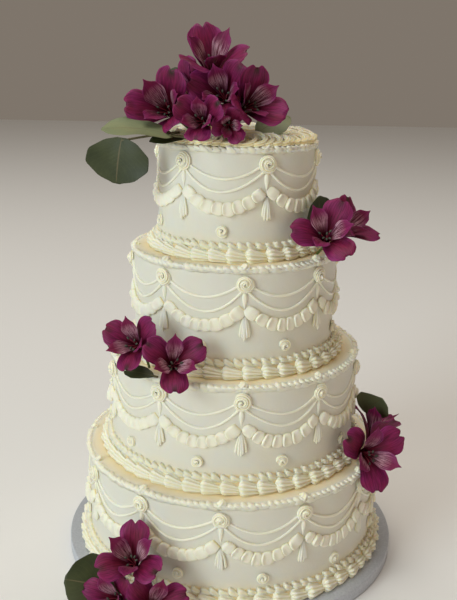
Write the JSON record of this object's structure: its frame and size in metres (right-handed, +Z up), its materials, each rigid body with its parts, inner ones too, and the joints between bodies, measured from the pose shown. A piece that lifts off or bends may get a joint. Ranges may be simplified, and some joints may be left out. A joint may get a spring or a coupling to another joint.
{
  "type": "tiered wedding cake",
  "caption": "Round tiered wedding cake on its board, iced in ivory buttercream with piped swags, rosettes and shell borders, dressed with purple flowers and round leaves.",
  "frame": {"origin": "centre of the underside of the round cake board", "axes": "+Z up through the middle of the tiers; the front of the cake, with most of the flowers to its sides, faces -Y"},
  "size_m": [0.3556, 0.3895, 0.5484],
  "materials": {
    "buttercream": "matte",
    "board_foil": "satin",
    "petal": "satin",
    "leaf": "satin"
  },
  "bodies": {
    "root": {"cake_board": "board_foil", "tier_1": "buttercream", "tier_2": "buttercream", "tier_3": "buttercream", "tier_4": "buttercream", "flower_top_1": "petal", "flower_top_2": "petal", "flower_top_3": "petal", "flower_top_4": "petal", "flower_top_5": "petal", "flower_top_6": "petal", "flower_top_7": "petal", "flower_top_8": "petal", "flower_right_1": "petal", "flower_right_2": "petal", "flower_left_1": "petal", "flower_left_2": "petal", "flower_low_1": "petal", "flower_low_2": "petal", "flower_foot_1": "petal", "flower_foot_2": "petal", "flower_foot_3": "petal", "leaf_top_1": "leaf", "leaf_top_2": "leaf", "leaf_top_3": "leaf", "leaf_top_4": "leaf", "leaf_top_5": "leaf", "leaf_right": "leaf", "leaf_left_1": "leaf", "leaf_left_2": "leaf", "leaf_left_3": "leaf", "leaf_low": "leaf", "leaf_foot": "leaf"}
  },
  "joints": []
}
